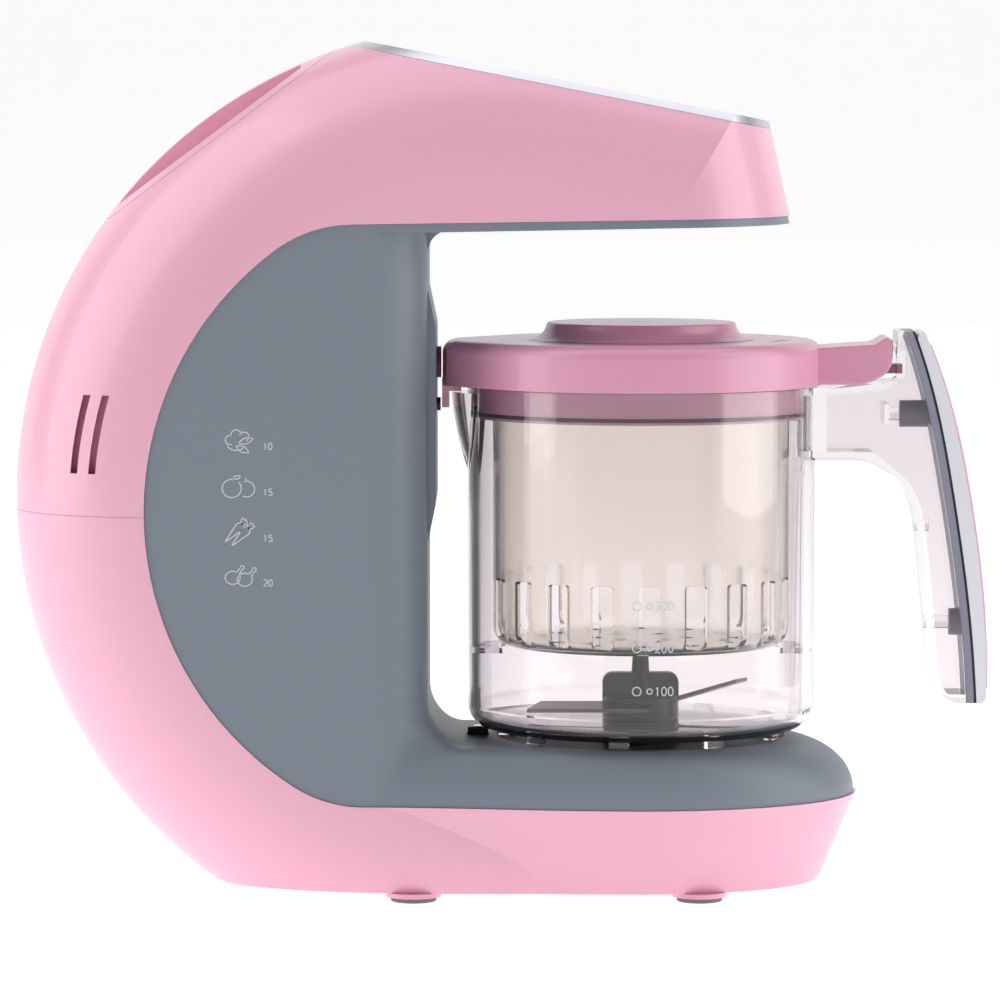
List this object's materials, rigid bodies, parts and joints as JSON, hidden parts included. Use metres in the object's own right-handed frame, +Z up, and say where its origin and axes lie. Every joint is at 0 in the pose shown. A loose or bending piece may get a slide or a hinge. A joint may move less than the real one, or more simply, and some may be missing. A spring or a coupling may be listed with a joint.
{
  "type": "baby food maker",
  "caption": "C-shaped baby food steamer and blender with a clear jug, turning lid, steam basket and chopping blade under its arm",
  "frame": {"origin": "middle of the bounding box in X and Y, on the plane of the foot pads", "axes": "+X from the back of the C towards the jug's handle, +Y across, away from the side the pictures on the column face, +Z up"},
  "size_m": [0.3027, 0.1122, 0.2641],
  "materials": {
    "upper_shell": "smooth gloss moulding",
    "lower_shell": "smooth gloss moulding",
    "tank_lid": "smooth gloss moulding",
    "inner_housing": "satin moulding",
    "bottom_plate": "smooth gloss moulding",
    "feet": "matt rubber",
    "rear_foot": "matt rubber",
    "base_screws": "plain steel",
    "cord_gland": "matt rubber",
    "panel_frame": "satin metal",
    "panel_glass": "smooth gloss moulding",
    "display": "clear polycarbonate",
    "key_power": "satin moulding",
    "key_start": "satin moulding",
    "key_steam": "satin moulding",
    "key_blend": "satin moulding",
    "key_up": "satin moulding",
    "key_down": "satin moulding",
    "control_board": "satin moulding",
    "power_board": "satin moulding",
    "water_tank": "satin moulding",
    "water_hose": "matt rubber",
    "boiler": "satin metal",
    "thermostat": "plain brass",
    "steam_hose": "matt rubber",
    "steam_outlet": "matt rubber",
    "lid_pin": "satin moulding",
    "lid_pin_spring": "plain steel",
    "lid_switch": "satin moulding",
    "jug_peg": "satin moulding",
    "jug_peg_spring": "plain steel",
    "jug_switch": "satin moulding",
    "seat": "satin moulding",
    "motor_stator": "laminated steel",
    "motor_rotor": "plain steel",
    "motor_cradle": "satin moulding",
    "drive_dog": "satin moulding",
    "jug": "clear polycarbonate",
    "handle_backing": "satin moulding",
    "handle_gasket": "matt rubber",
    "handle_trim": "satin metal",
    "handle_inlay": "smooth gloss moulding",
    "handle_screws": "plain steel",
    "lid": "smooth gloss moulding",
    "lid_cap": "smooth gloss moulding",
    "lid_seal": "matt rubber",
    "steam_basket": "clear polycarbonate",
    "blade_coupling": "satin moulding",
    "blade_bush": "plain brass",
    "blade_shaft": "plain steel",
    "blades": "plain steel",
    "blade_hub": "satin moulding"
  },
  "bodies": {
    "base_unit": {"upper_shell": "upper_shell", "lower_shell": "lower_shell", "inner_housing": "inner_housing", "bottom_plate": "bottom_plate", "feet": "feet", "rear_foot": "rear_foot", "base_screws": "base_screws", "cord_gland": "cord_gland", "panel_frame": "panel_frame", "panel_glass": "panel_glass", "display": "display", "control_board": "control_board", "power_board": "power_board", "water_tank": "water_tank", "water_hose": "water_hose", "boiler": "boiler", "thermostat": "thermostat", "steam_hose": "steam_hose", "steam_outlet": "steam_outlet", "lid_pin_spring": "lid_pin_spring", "lid_switch": "lid_switch", "jug_peg_spring": "jug_peg_spring", "jug_switch": "jug_switch", "seat": "seat", "motor_stator": "motor_stator", "motor_cradle": "motor_cradle"},
    "tank_cover": {"tank_lid": "tank_lid"},
    "rotor": {"motor_rotor": "motor_rotor", "drive_dog": "drive_dog"},
    "jug_body": {"jug": "jug", "handle_backing": "handle_backing", "handle_gasket": "handle_gasket", "handle_trim": "handle_trim", "handle_inlay": "handle_inlay", "handle_screws": "handle_screws", "blade_bush": "blade_bush"},
    "jug_lid": {"lid": "lid", "lid_cap": "lid_cap", "lid_seal": "lid_seal"},
    "basket": {"steam_basket": "steam_basket"},
    "blade_set": {"blade_coupling": "blade_coupling", "blade_shaft": "blade_shaft", "blades": "blades", "blade_hub": "blade_hub"},
    "lid_interlock": {"lid_pin": "lid_pin"},
    "jug_interlock": {"jug_peg": "jug_peg"},
    "key_power_body": {"key_power": "key_power"},
    "key_start_body": {"key_start": "key_start"},
    "key_steam_body": {"key_steam": "key_steam"},
    "key_blend_body": {"key_blend": "key_blend"},
    "key_up_body": {"key_up": "key_up"},
    "key_down_body": {"key_down": "key_down"}
  },
  "joints": [
    {"name": "motor_spin", "type": "hinge", "parent": "base_unit", "child": "rotor", "pos_m": [0.0436, 0, 0.03], "axis": [0, 0, 1], "continuous": true},
    {"name": "jug_lift", "type": "slide", "parent": "base_unit", "child": "jug_body", "axis": [0, 0, 1], "range_m": [0, 0.024]},
    {"name": "lid_twist", "type": "hinge", "parent": "jug_body", "child": "jug_lid", "pos_m": [0.0436, 0, 0.16], "axis": [0, 0, 1], "range_deg": [0, 30]},
    {"name": "basket_lift", "type": "slide", "parent": "jug_body", "child": "basket", "axis": [0, 0, 1], "range_m": [0, 0.012]},
    {"name": "blade_spin", "type": "hinge", "parent": "jug_body", "child": "blade_set", "pos_m": [0.0436, 0, 0.055], "axis": [0, 0, 1], "continuous": true},
    {"name": "tank_lid_lift", "type": "slide", "parent": "base_unit", "child": "tank_cover", "axis": [-0.6428, 0, 0.766], "range_m": [0, 0.07]},
    {"name": "lid_pin_press", "type": "slide", "parent": "base_unit", "child": "lid_interlock", "axis": [1, 0, 0], "range_m": [-0.002, 0], "stiffness_N_per_m": 300, "deforming": ["lid_pin_spring"]},
    {"name": "jug_peg_press", "type": "slide", "parent": "base_unit", "child": "jug_interlock", "axis": [0, 0, 1], "range_m": [-0.0025, 0], "stiffness_N_per_m": 300, "deforming": ["jug_peg_spring"]},
    {"name": "key_power_press", "type": "slide", "parent": "base_unit", "child": "key_power_body", "axis": [0.1942, 0, 0.981], "range_m": [-0.001, 0], "stiffness_N_per_m": 400},
    {"name": "key_start_press", "type": "slide", "parent": "base_unit", "child": "key_start_body", "axis": [0.1942, 0, 0.981], "range_m": [-0.001, 0], "stiffness_N_per_m": 400},
    {"name": "key_steam_press", "type": "slide", "parent": "base_unit", "child": "key_steam_body", "axis": [0.1942, 0, 0.981], "range_m": [-0.001, 0], "stiffness_N_per_m": 400},
    {"name": "key_blend_press", "type": "slide", "parent": "base_unit", "child": "key_blend_body", "axis": [0.1942, 0, 0.981], "range_m": [-0.001, 0], "stiffness_N_per_m": 400},
    {"name": "key_up_press", "type": "slide", "parent": "base_unit", "child": "key_up_body", "axis": [0.1942, 0, 0.981], "range_m": [-0.001, 0], "stiffness_N_per_m": 400},
    {"name": "key_down_press", "type": "slide", "parent": "base_unit", "child": "key_down_body", "axis": [0.1942, 0, 0.981], "range_m": [-0.001, 0], "stiffness_N_per_m": 400}
  ],
  "couplings": [
    {"joint": "blade_spin", "follows": "motor_spin", "ratio": 1}
  ]
}
